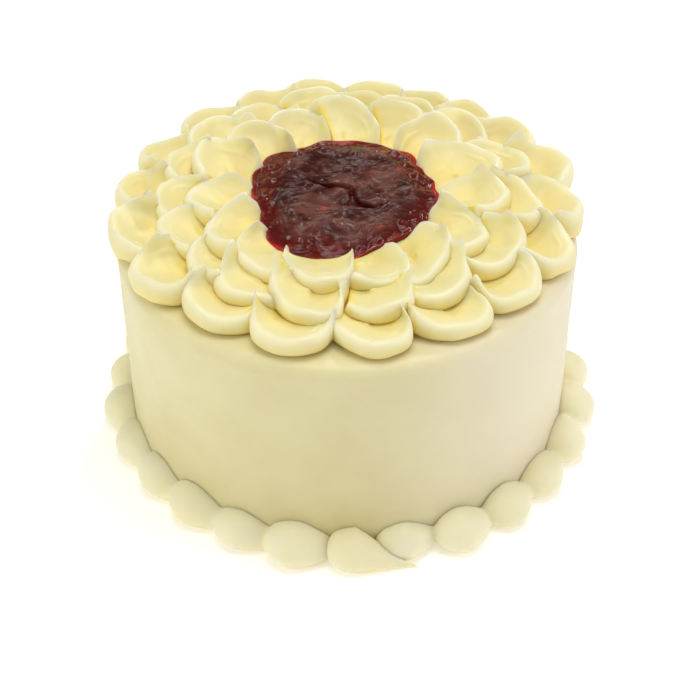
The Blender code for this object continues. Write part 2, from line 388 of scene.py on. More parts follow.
@dataclass(frozen=True)
class IcingFinish:
    """Buttercream: satin and slightly translucent, with painted shade and painted highlight in its
    colour.
    """

    name: str
    pale: Colour = (0.87, 0.785, 0.40, 1)
    # colour of painted shade, in creases and low down
    deep: Colour = (0.98, 0.72, 0.09, 1)
    # colour of painted highlight on rims, and on the drum's lit side
    thin: Colour = (0.94, 0.895, 0.68, 1)
    # colour of painted shade in the small air holes
    pit_shade: Colour = (0.72, 0.60, 0.30, 1)
    most_shade: float = 0.92  # share of the painted shade's colour where its mask is 1
    stroke_scale: Triple = (60.0, 60.0, 420.0)
    stroke_map: str = ""  # UV map that the strokes follow; the object's own space if empty
    roughness: float = 0.46
    relief: float = 0.22 * MM
    thinnest: float = 0.7  # share of the painted highlight's colour where its mask is 1
    milky: float = 0.5  # share of the light that passes under the surface
    glow: Triple = (1.0, 0.85, 0.42)
    glow_reach: float = 5.5 * MM

    def build(self) -> bpy.types.Material:
        """Makes the material.

        Returns:
            A material that reads two vertex masks, one of painted shade and one of painted
            highlight, and the object's coordinates.
        """
        made, tree = Tree.of_material(self.name)
        place = tree.place()
        course = place
        if self.stroke_map:
            course = tree.add("ShaderNodeUVMap", uv_map=self.stroke_map).outputs[0]
        stretched = tree.add("ShaderNodeMapping", in_Vector=course, in_Scale=self.stroke_scale)
        surface = tree.add(
            "ShaderNodeGroup",
            node_tree=whipped_group(),
            in_Place=place,
            in_Stroke_Place=stretched.outputs[0],
        )
        # Painted shade: yellower and darker where the mask is high.
        mask = tree.mask("deep")
        tone = tree.span(surface.outputs["Tone"], 0.35, 0.65, -0.08, 0.08)
        share = tree.math("MULTIPLY_ADD", mask, self.most_shade, tone)
        share = tree.math("MAXIMUM", tree.math("MINIMUM", share, 1.0), 0.0)
        colour = tree.blend(share, self.pale, self.deep)
        # Painted highlight: paler where the rim mask is high.
        edge = tree.mask("rim")
        colour = tree.blend(tree.math("MULTIPLY", edge, self.thinnest), colour, self.thin)
        # Painted shade in the small air holes.
        colour = tree.blend(surface.outputs["Holes"], colour, self.pit_shade)
        bump = tree.bump(surface.outputs["Relief"], self.relief)
        smoothest, roughest = self.roughness - 0.05, self.roughness + 0.05
        rough = tree.span(surface.outputs["Tone"], 0.3, 0.7, smoothest, roughest)
        tree.shade(
            in_Base_Color=colour,
            in_Roughness=rough,
            in_Normal=bump,
            in_Subsurface_Weight=self.milky,
            in_Subsurface_Radius=self.glow,
            in_Subsurface_Scale=self.glow_reach,
            in_IOR=1.42,
        )
        return made


@dataclass(frozen=True)
class JamFinish:
    """Boiled fruit jam: nearly black red in the thick, clear bright red where it is thin."""

    name: str = "jam_glossy"
    thick: Colour = (0.052, 0.005, 0.003, 1)
    brown: Colour = (0.160, 0.047, 0.031, 1)
    clear: Colour = (0.120, 0.004, 0.001, 1)
    # colour of painted shade in furrows and in the valleys between wrinkles
    furrow: Colour = (0.018, 0.0010, 0.0008, 1)
    thin: Colour = (0.62, 0.018, 0.014, 1)
    relief: float = 0.45 * MM
    smoothest: float = 0.30
    roughest: float = 0.44
    film: float = 0.06  # weight of the wet film, which lumps have more of
    lump_film: float = 0.40
    milky: float = 0.10  # share of the light that passes under the surface
    glow: Triple = (1.0, 0.12, 0.10)
    glow_reach: float = 2.0 * MM
    shine: Colour = (1.0, 0.82, 0.74, 1)

    def build(self) -> bpy.types.Material:
        """Makes the material.

        Returns:
            A material that reads the vertex masks "thin", "furrow", "shore" and "lump" and
            the object's coordinates.
        """
        made, tree = Tree.of_material(self.name)
        place = tree.place()
        drawn = tree.add("ShaderNodeMapping", in_Vector=place, in_Scale=(0.6, 1.5, 1.0)).outputs[0]
        patches = tree.noise(place, 75.0, 3.0)
        pulp = tree.noise(drawn, 330.0, 4.0, in_Distortion=0.6)
        flecks = tree.add("ShaderNodeTexVoronoi", in_Vector=place, in_Scale=105.0)
        thin = tree.mask("thin")
        furrow = tree.mask("furrow")
        shore = tree.mask("shore")
        lump = tree.mask("lump")
        tint = tree.math("MULTIPLY_ADD", pulp, 0.5, patches)
        colour = tree.blend(tree.span(tint, 0.65, 0.84), self.thick, self.brown)
        colour = tree.blend(shore, colour, self.clear)
        # Painted shade: nearly black in the furrows and the wrinkles' valleys.
        shade = tree.math("MULTIPLY", furrow, tree.span(pulp, 0.3, 0.6, 0.7, 1.0))
        colour = tree.blend(shade, colour, self.furrow)
        fleck = tree.math(
            "MULTIPLY",
            tree.span(flecks.outputs["Distance"], 0.04, 0.22, 0.7, 0.0),
            tree.span(patches, 0.51, 0.60),
        )
        colour = tree.blend(tree.math("MAXIMUM", thin, fleck), colour, self.thin)
        relief = tree.math("MULTIPLY_ADD", patches, 0.6, pulp)
        bump = tree.bump(relief, self.relief)
        rough = tree.span(patches, 0.35, 0.65, self.smoothest, self.roughest)
        tree.shade(
            in_Base_Color=colour,
            in_Roughness=tree.math("MULTIPLY_ADD", shore, -0.12, rough),
            in_Normal=bump,
            in_Subsurface_Weight=self.milky,
            in_Subsurface_Radius=self.glow,
            in_Subsurface_Scale=self.glow_reach,
            in_IOR=1.34,
            in_Coat_Weight=tree.math("MULTIPLY_ADD", lump, self.lump_film, self.film),
            in_Coat_Roughness=0.06,
            in_Specular_Tint=self.shine,
        )
        return made


@dataclass(frozen=True)
class SeedFinish:
    """Small fruit seeds under a film of jam."""

    name: str = "seed_glazed"
    husk: Colour = (0.13, 0.022, 0.012, 1)
    stained: Colour = (0.08, 0.006, 0.005, 1)

    def build(self) -> bpy.types.Material:
        """Makes the material.

        Returns:
            A material that reads the object's coordinates.
        """
        made, tree = Tree.of_material(self.name)
        stain = tree.noise(tree.place(), 420.0, 2.0)
        colour = tree.blend(tree.span(stain, 0.4, 0.6), self.husk, self.stained)
        tree.shade(
            in_Base_Color=colour,
            in_Roughness=0.12,
            in_Coat_Weight=0.8,
            in_Coat_Roughness=0.05,
        )
        return made


# ---------------------------------------------------------------- the drum


@dataclass
class IcedDrum:
    """The smooth iced side and top of the cake."""

    node: str = "iced_cake"
    sides: int = 192
    courses: int = 44
    edge_round: float = 4.5 * MM
    side_wave: float = 0.35 * MM
    # painted light: the side whose colour is painted paler, as if lit more
    lit_side: float = math.radians(-10)
    wave_length: float = 60 * MM
    band_length: float = 30 * MM
    wave_share: float = 0.55
    band_share: float = 0.45
    lip_out: float = 0.25 * MM  # the faint lip just under the top edge
    lip_drop: float = 6 * MM
    lip_spread: float = 2.2 * MM
    shaded_height: float = 85 * MM  # painted shade, yellower and darker, grows from here down
    # least painted shade, and how much more of it there is low down
    least_shade: float = 0.06
    more_shade_below: float = 0.34
    # share of the paler painted light colour on the lit side
    lit_paleness: float = 0.9

    def __post_init__(self) -> None:
        """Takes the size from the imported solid."""
        low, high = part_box(self.node)
        self.radius: float = (high[0] - low[0]) / 2
        self.top: float = high[2]

    def build(self, finish: bpy.types.Material) -> bpy.types.Object:
        """Models and dresses the drum.

        Args:
            finish: The icing's material.

        Returns:
            The finished piece.
        """
        select_only()
        bpy.ops.mesh.primitive_cylinder_add(
            vertices=self.sides,
            radius=self.radius - self.side_wave / 2,
            depth=self.top,
            location=(0, 0, self.top / 2),
        )
        drum = bpy.context.active_object
        drum.name = drum.data.name = "drum_icing"
        bpy.ops.object.transform_apply(location=True, rotation=True, scale=True)
        self._select_edges(drum, lambda a, b: min(a.z, b.z) > self.top - MM)
        bpy.ops.mesh.bevel(offset=self.edge_round, segments=8, affect="EDGES")
        bpy.ops.object.mode_set(mode="OBJECT")
        self._select_edges(drum, lambda a, b: abs(a.z - b.z) > self.top / 2)
        bpy.ops.mesh.subdivide(number_cuts=self.courses)
        bpy.ops.object.mode_set(mode="OBJECT")
        self._hand_smoothed(drum)
        hand_over(drum, finish, Slot.ICING, self.node)
        return drum

    @staticmethod
    def _select_edges(obj: bpy.types.Object, wanted: Callable[[Vector, Vector], bool]) -> None:
        """Enters edit mode with only some edges selected.

        Args:
            obj: The object to edit, which is active.
            wanted: Tells from the places of an edge's two ends whether to select it.
        """
        bpy.ops.object.mode_set(mode="EDIT")
        bpy.ops.mesh.select_mode(type="EDGE")
        bpy.ops.mesh.select_all(action="DESELECT")
        bpy.ops.object.mode_set(mode="OBJECT")
        corners = obj.data.vertices
        for edge in obj.data.edges:
            a, b = (corners[index].co for index in edge.vertices)
            edge.select = wanted(a, b)
        bpy.ops.object.mode_set(mode="EDIT")

    def _hand_smoothed(self, drum: bpy.types.Object) -> None:
        """Gives the side the faint bands and hollows that a smoother leaves.

        Args:
            drum: The drum to change, which also gets its masks of painted shade and painted light.
        """
        points = points_of(drum)
        radius = np.hypot(points[:, 0], points[:, 1])
        turn = np.arctan2(points[:, 1], points[:, 0])
        height = points[:, 2]
        slow = clouds(points, self.wave_length, 3.0)
        flat = np.column_stack((points[:, :2] * 0.4, height * 2.2))
        band = clouds(flat, self.band_length, 8.0)
        out = self.side_wave * (self.wave_share * slow + self.band_share * band)
        lip = bell(height, self.top - self.lip_drop, self.lip_spread)
        lip *= 0.5 + 0.5 * np.sin(3 * turn + 1)
        out += self.lip_out * lip
        share = np.where(radius > self.radius * 0.97, out, 0) / np.maximum(radius, MM)
        points[:, :2] *= (1 + share)[:, None]
        set_points(drum, points)
        # Painted shade: yellower and darker lower down the side, less so just above the shells.
        low = 1 - rise(0.0, self.shaded_height, height)
        low *= 0.4 + 0.6 * rise(10 * MM, 20 * MM, height)
        set_mask(drum, "deep", self.least_shade + self.more_shade_below * low)
        # Painted light: the lit side is painted paler.
        set_mask(drum, "rim", self.lit_paleness * rise(0.10, 0.90, np.cos(turn - self.lit_side)))


# ---------------------------------------------------------------- petals


@dataclass(frozen=True)
class PetalForm:
    """The form that every petal shares, before it is turned, stretched and pressed."""

    segments: int = 128
    rings: int = 52
    scoop_rings: int = 34
    outside_rings: int = 14
    front_reach: float = 13.5 * MM
    side_height: float = 12.0 * MM
    back_side: float = 1.4 * MM  # how much higher the sides are at the back of the cake
    side_lift: float = 0.4  # share of its row's lift that the sides take on
    side_place: float = math.radians(104)
    side_spread: float = math.radians(38)
    front_lip: float = 7.3 * MM
    back_lip: float = 12.6 * MM
    tail_height: float = 4.0 * MM
    tail_lift: float = 0.5
    tail_turn: float = math.radians(118)  # where the rim starts to fall to the tail
    tail_fall: float = math.radians(47)
    early_fall: float = math.radians(26)  # how much sooner it falls behind the jam
    jam_lift: float = 4.2 * MM  # only the petals round the jam are raised by more than this
    floor: float = 5.0 * MM
    back_sink: float = 2.0 * MM  # how much deeper the scoop is at the back of the cake
    front_slope: float = 0.15
    tail_slope: float = 0.20
    bulge: float = 3.0 * MM
    side_bulge: float = 0.7 * MM
    foot: float = -0.8 * MM
    spoon_edge: float = 0.45 * MM
    spoon_mark: float = 0.74  # where the spoon's edge left its mark, as a share of the scoop
    ring_crowding: float = 1.35  # how much closer the scoop's rings lie towards the rim
    flame_inside: float = 11  # how near to the rim a flame starts, inside and outside
    flame_outside: float = 4
    calm_from: float = 1.9  # the rim's unevenness and bulge die out between these angles
    calm_to: float = 2.6
    bed_shade: float = 0.17  # painted shade in the scoop, and how much more of it by its tail
    tail_shade: float = 0.46
    # painted shade low on the outer face, towards the foot
    foot_shade: float = 0.42

    def crest(self, turn: np.ndarray, lift: float, back: float) -> np.ndarray:
        """Height of the rim, without its flames, at each angle from the outward direction.

        Args:
            turn: Angles, positive to the petal's left as seen from the cake's middle.
            lift: How far the rows outside raise the petal.
            back: 0 for a petal at the front of the cake and 1 for one at the back.

        Returns:
            Heights above the cake's top.
        """
        aside = np.abs(turn)
        lip = self.front_lip + (self.back_lip - self.front_lip) * back + lift
        side = self.side_height + self.back_side * back + lift * self.side_lift
        start = self.tail_turn - self.early_fall * back * (lift > self.jam_lift)
        tail = rise(start, start + self.tail_fall, aside)
        climb = bell(aside, self.side_place, self.side_spread)
        low = self.tail_height + self.tail_lift * lift
        return (lip + (side - lip) * climb) * (1 - tail) + low * tail

    def bed(self, forward: np.ndarray, lift: float, back: float) -> np.ndarray:
        """Height of the scoop's lowest line, which falls from the lip to the tail."""
        slope = np.where(forward > 0, self.front_slope, self.tail_slope)
        return self.floor - self.back_sink * back + lift + slope * forward

    @staticmethod
    def dish(share: np.ndarray, crisp: np.ndarray) -> np.ndarray:
        """Share of the rise from the bed to the rim, soft or crisp behind the rim."""
        soft = share * share * (3 - 2 * share)
        return soft + (share**3.2 - soft) * crisp


@dataclass(frozen=True)
class Flame:
    """The thin tip that the spoon draws up from a petal's rim on one side."""

    place: float
    height: float
    out: float
    forward: float
    climb: float = math.radians(19)
    drop: float = math.radians(8)

    @classmethod
    def drawn(cls, draw: random.Random) -> "Flame":
        """Draws a flame of its own for one side of a petal."""
        return cls(
            place=math.radians(draw.uniform(88, 116)),
            height=draw.choice((1.0, 2.4, 3.6, 4.8)) * MM,
            out=draw.uniform(-2.8, 1.6) * MM,
            forward=draw.uniform(-2.6, 2.6) * MM,
        )

    def share(self, aside: np.ndarray) -> np.ndarray:
        """1 at the tip; it climbs gently from the lip and drops steeply to the tail."""
        spread = np.where(aside < self.place, self.climb, self.drop)
        return np.exp(-(((aside - self.place) / spread) ** 2))


@dataclass
class Petal:
    """One scooped petal."""

    name: str
    form: PetalForm
    stand: Matrix
    half_width: float
    tail_reach: float
    lift: float
    back: float
    seed: int
    skew: float  # how far one side lies further out than the other, as a share
    pressed_by: list["Petal"] = field(default_factory=list)

    def plan(self, points: np.ndarray) -> np.ndarray:
        """Tells how far out points lie in the petal's own plan.

        Args:
            points: Places of shape (n, 3) in the cake's frame.

        Returns:
            0 for a point over the middle and 1 for one over the rim.
        """
        back = np.array(self.stand.inverted())
        local = points @ back[:3, :3].T + back[:3, 3]
        forward = local[:, 0] - self.skew * local[:, 1]
        reach = np.where(forward > 0, self.form.front_reach, self.tail_reach)
        return np.hypot(forward / reach, local[:, 1] / self.half_width)

    def build(
        self, drum: IcedDrum, jam: "JamPool", finish: bpy.types.Material
    ) -> bpy.types.Object:
        """Models and dresses the petal.

        Args:
            drum: The cake that it lies on.
            jam: The pool that lies on the ends of the petals round it.
            finish: The icing's material.

        Returns:
            The finished piece.
        """
        form = self.form
        piece = new_sphere(f"{self.name}_icing", form.segments, form.rings)
        level, turn = level_and_turn(points_of(piece), form.rings)
        local, depth, rim = self._surface(level, turn)
        stand = np.array(self.stand)
        points = local @ stand[:3, :3].T + stand[:3, 3]
        for other in self.pressed_by:
            apart = other.plan(points)
            # Painted shade in the crease round each petal that lies over this one, and no painted
            # highlight under it.
            depth = np.maximum(depth, (1 - rise(1.0, 1.3, apart)) * (1 - 0.75 * rim))
            rim = rim * rise(0.92, 1.06, apart)
        points = self._pressed(points)
        points = self._under_the_jam(points, rim, jam)
        points = self._over_the_edge(points, drum)
        set_points(piece, points)
        set_mask(piece, "deep", depth)
        set_mask(piece, "rim", rim)
        self._lay_uv(piece, local)
        swell(piece, 12 * MM, 1.3 * MM)
        hand_over(piece, finish, Slot.PETAL, self.name)
        return piece

    def _outline(self, turn: np.ndarray, draw: random.Random) -> np.ndarray:
        """The rim's uneven line in plan.

        Args:
            turn: Azimuth of each vertex.
            draw: Source of the petal's own unevenness.

        Returns:
            Places of shape (n, 2) in the petal's own frame.
        """
        wave = 1 + 0.035 * np.sin(2 * turn + draw.uniform(0, math.tau))
        wave += 0.040 * np.sin(3 * turn + draw.uniform(0, math.tau))
        wave += 0.020 * np.sin(5 * turn + draw.uniform(0, math.tau))
        reach = np.where(np.cos(turn) > 0, self.form.front_reach, self.tail_reach)
        rim = np.column_stack((reach * np.cos(turn), self.half_width * np.sin(turn)))
        rim *= wave[:, None]
        rim[:, 0] += self.skew * rim[:, 1]
        return rim

    def _surface(
        self, level: np.ndarray, turn: np.ndarray
    ) -> tuple[np.ndarray, np.ndarray, np.ndarray]:
        """The whole petal in its own frame.

        Args:
            level: Ring of each vertex, from 0 in the middle of the scoop.
            turn: Azimuth of each vertex.

        Returns:
            Places of shape (n, 3), a mask of painted shade from 0 to 1, and a mask of painted
            highlight near the rim from 0 to 1.
        """
        form = self.form
        draw = random.Random(self.seed)
        flames = Flame.drawn(draw), Flame.drawn(draw)
        rim = self._outline(turn, draw)
        aside, left = np.abs(turn), turn > 0
        tips = np.where(left, flames[0].share(aside), flames[1].share(aside))
        tall = tips * np.where(left, flames[0].height, flames[1].height)
        out_of = np.where(left, flames[0].out, -flames[1].out)
        curl = np.column_stack((np.where(left, flames[0].forward, flames[1].forward), out_of))
        curl *= tips[:, None]

        wobble = draw.uniform(0, math.tau)
        crest = form.crest(turn, self.lift, self.back)
        uneven = 0.9 * np.sin(2.3 * turn + wobble) + 0.4 * np.sin(5.3 * turn - wobble)
        lively = 1 - rise(form.calm_from, form.calm_to, aside)
        crest = crest + uneven * MM * lively
        slant = draw.uniform(-0.15, 0.15) * rim[:, 1] / self.half_width
        front = 1 - rise(math.radians(50), math.radians(100), aside)
        crisp = 1 - 0.6 * front * (1 - 0.7 * self.back)
        place = np.zeros((len(level), 3))
        depth = np.zeros(len(level))
        edge = np.zeros(len(level))

        inside = level <= form.scoop_rings
        share = 1 - (1 - np.minimum(level / form.scoop_rings, 1)) ** form.ring_crowding
        bed = form.bed(rim[:, 0] * share, self.lift, self.back)
        bed_end = form.bed(rim[:, 0], self.lift, self.back)
        mark_turn = draw.uniform(-1.9, 1.9)
        mark = form.spoon_edge * bell(share, form.spoon_mark, 0.05) * bell(turn, mark_turn, 0.55)
        flame = share**form.flame_inside
        height = bed + (crest - bed_end) * form.dish(share, crisp) + tall * flame + mark
        scoop = np.column_stack((rim * share[:, None], height))
        scoop[:, :2] += curl * flame[:, None]
        place[inside] = scoop[inside]
        # Painted shade, yellower towards the scoop's tail, where it runs under the next row.
        towards_tail = rise(-0.5, 0.7, -np.cos(turn) * share)
        scoop_shade = form.bed_shade + form.tail_shade * towards_tail
        depth[inside] = (scoop_shade * (1 - rise(0.45, 0.9, share)))[inside]
        # Painted highlight along the rim.
        edge[inside] = (rise(0.80 + 0.08 * crisp, 1.0, share) * (0.55 + 0.45 * crisp))[inside]

        outside = (level > form.scoop_rings) & (level <= form.scoop_rings + form.outside_rings)
        sweep = np.clip((level - form.scoop_rings) / form.outside_rings, 0, 1) * math.pi
        upper = (1 + np.cos(sweep)) / 2
        bulge = form.side_bulge + (form.bulge - form.side_bulge) * front
        out = bulge * lively * np.sin(sweep) + form.foot * (1 - upper)
        flame = upper**form.flame_outside
        face = np.column_stack((rim, self.lift + (crest - self.lift) * upper + tall * flame))
        face[:, :2] += np.column_stack((np.cos(turn), np.sin(turn))) * out[:, None]
        face[:, :2] += curl * flame[:, None]
        place[outside] = face[outside]
        # Painted shade low on the outer face, and painted highlight on its rounded top.
        depth[outside] = form.foot_shade * rise(0.30, 0.85, sweep / math.pi)[outside]
        edge[outside] = ((1 - rise(0.12, 0.50, sweep / math.pi)) * (0.55 + 0.45 * crisp))[outside]

        under = level > form.scoop_rings + form.outside_rings
        left_over = (form.rings - level) / (form.rings - form.scoop_rings - form.outside_rings)
        place[under, :2] = (rim * left_over[:, None] * 0.95)[under]
        place[under, 2] = (self.lift * left_over)[under]
        place[:, 2] *= 1 + slant
        return place, depth, edge

    def _press(self, points: np.ndarray, limit: float, kept: np.ndarray) -> None:
        """Keeps a share of what stands higher than limit above the petal's foot.

        Args:
            points: The petal's places in the cake's frame, which are changed.
            limit: Height up to which nothing is pressed.
            kept: Share of the rest that is kept at each place.
        """
        floor = self.stand.translation.z
        height = points[:, 2] - floor
        low = np.minimum(height, limit)
        points[:, 2] = floor + low + (height - low) * kept

    def _pressed(self, points: np.ndarray) -> np.ndarray:
        """Presses the petal down where later ones lie over it.

        Args:
            points: The petal's places in the cake's frame.

        Returns:
            The same places, pressed down.
        """
        for other in self.pressed_by:
            kept = rise(0.92, 1.06, other.plan(points))
            self._press(points, (other.form.floor + other.lift) * 0.5, kept)
        return points

    def _under_the_jam(
        self, points: np.ndarray, rim: np.ndarray, jam: "JamPool"
    ) -> np.ndarray:
        """Presses the petal down under the jam. Thin tips in front of the jam stay up.

        Args:
            points: The petal's places in the cake's frame.
            rim: The mask of painted highlight, from 0 to 1, which is highest at the edge.
            jam: The pool of jam.

        Returns:
            The same places, pressed down.
        """
        share = jam.share(points)
        tips = rim * (1 - self.back) ** 2 * rise(0.86, 1.0, share)
        self._press(points, jam.edge_height / 2, np.maximum(rise(0.90, 1.02, share), tips))
        return points

    def _over_the_edge(self, points: np.ndarray, drum: IcedDrum) -> np.ndarray:
        """Lets what lies past the flat of the cake's top sag on to its round edge.

        Args:
            points: The petal's places in the cake's frame.
            drum: The cake that it lies on.

        Returns:
            The same places, sagged.
        """
        radius = np.hypot(points[:, 0], points[:, 1])
        past = np.clip(radius - (drum.radius - drum.edge_round), 0, drum.edge_round)
        drop = drum.edge_round - np.sqrt(np.maximum(drum.edge_round**2 - past**2, 0))
        height = points[:, 2] - drum.top
        share = 1 - rise(0.0, 9 * MM, height)
        points[:, 2] -= np.minimum(drop, 3.6 * MM) * share
        return points

    def _lay_uv(self, piece: bpy.types.Object, local: np.ndarray) -> None:
        """Lays a UV map along the way the spoon was drawn, at one unit for 20 mm.

        Args:
            piece: The petal's object.
            local: Its places in the petal's own frame.
        """
        corner = np.empty(len(piece.data.loops), dtype=int)
        piece.data.loops.foreach_get("vertex_index", corner)
        layer = piece.data.uv_layers.new(name="stroke")
        layer.data.foreach_set("uv", (local[corner, :2] / (20 * MM)).astype(np.float32).ravel())


@dataclass
class PetalRow:
    """A ring of petals: how many lie round it, and the circle of their lips."""

    name: str
    places: int
    lip_radius: float
    start_deg: float
    half_width: float
    tail_reach: float
    centre_y: float
    lift: float
    drift: tuple[tuple[int, float, float], ...]

    def angle(self, place: int) -> float:
        """Finds the azimuth of one place, as the petals are spread by hand.

        Args:
            place: Number of the place, from 0.

        Returns:
            The azimuth in radians.
        """
        phase = place * math.tau / self.places
        drift = sum(size * math.sin(n * phase + turn) for n, size, turn in self.drift)
        return math.radians(self.start_deg + drift) + phase


@dataclass
class PetalTop:
    """All petals, from the rim inwards."""

    form: PetalForm = PetalForm()
    seed: int = 7
    turn_spread: float = math.radians(9)
    size_spread: float = 0.07
    place_spread: float = 1.2 * MM
    height_spread: float = 1.0 * MM
    skew_spread: float = 0.32
    side_reach: float = 2.6 * MM  # how much further the rim's petals reach at the two sides
    gap: float = 0.3 * MM
    last_laid: float = math.radians(254)  # petals nearer to here lie over their neighbours
    rows: tuple[PetalRow, ...] = (
        PetalRow(
            "rim_petal", 19, 88.0 * MM, 274.7, 14.4 * MM, 15.0 * MM, 5.0 * MM,
            0.0, ((1, 7.4, 0.41), (2, 1.4, -1.94)),
        ),
        PetalRow(
            "second_petal", 17, 75.1 * MM, 289.6, 14.4 * MM, 19.0 * MM, 5.5 * MM,
            3.0 * MM, ((1, 9.0, -1.08), (2, 4.2, -2.06)),
        ),
        PetalRow(
            "inner_petal", 15, 60.8 * MM, 282.5, 14.0 * MM, 19.0 * MM, 7.5 * MM,
            4.5 * MM, ((1, 2.2, -1.9), (2, 2.7, -2.53)),
        ),
    )

    def petals(self, drum: IcedDrum) -> list[Petal]:
        """Places every petal and notes which others lie over it.

        Args:
            drum: The cake that they lie on.

        Returns:
            The petals, from the rim inwards.
        """
        draw = random.Random(self.seed)
        rings = [
            [self._petal(number, row, place, draw, drum.top) for place in range(row.places)]
            for number, row in enumerate(self.rows)
        ]
        for number, (row, ring) in enumerate(zip(self.rows, rings)):
            later = [petal for inner in rings[number + 1 :] for petal in inner]
            for place, petal in enumerate(ring):
                upper = [
                    ring[other]
                    for other in ((place - 1) % row.places, (place + 1) % row.places)
                    if self._nearness(row, other) > self._nearness(row, place)
                ]
                petal.pressed_by = [other for other in upper + later if self._near(petal, other)]
        return [petal for ring in rings for petal in ring]

    def _nearness(self, row: PetalRow, place: int) -> float:
        """How near a place is to the side where the last petals were laid."""
        return math.cos(row.angle(place) - self.last_laid)

    def _petal(
        self, number: int, row: PetalRow, place: int, draw: random.Random, top: float
    ) -> Petal:
        """Places one petal of a row, turned and stretched a little.

        Args:
            number: Number of the row, from 0 at the rim.
            row: The row.
            place: Number of the petal's place in it.
            draw: Source of the unevenness that all petals share.
            top: Height of the cake's top.

        Returns:
            The petal.
        """
        around = row.angle(place)
        size = 1 + draw.uniform(-self.size_spread, self.size_spread)
        turn = draw.uniform(-self.turn_spread, self.turn_spread)
        lip_radius = row.lip_radius + draw.uniform(-self.place_spread, self.place_spread)
        if number == 0:  # the row at the rim
            lip_radius += self.side_reach * math.cos(around) ** 2
        taller = 1 + draw.uniform(-self.height_spread, self.height_spread) / self.form.back_lip
        middle = Vector((0, row.centre_y, top + self.gap))
        out = Vector((math.cos(around), math.sin(around), 0))
        stand = (
            Matrix.Translation(middle + out * (lip_radius - self.form.front_reach))
            @ Matrix.Rotation(around + turn, 4, "Z")
            @ Matrix.Diagonal((size, size, taller, 1))
        )
        name = f"{row.name}_{place:02d}"
        back = 0.5 + 0.5 * math.sin(around)
        seed = 100 * number + place
        skew = random.Random(seed + 1000).uniform(-self.skew_spread, self.skew_spread)
        return Petal(
            name, self.form, stand, row.half_width, row.tail_reach, row.lift, back, seed, skew
        )

    @staticmethod
    def _near(one: Petal, other: Petal) -> bool:
        """Whether two petals can touch."""
        apart = one.stand.translation - other.stand.translation
        return apart.length < 2.6 * max(one.half_width, one.tail_reach)


# ---------------------------------------------------------------- jam


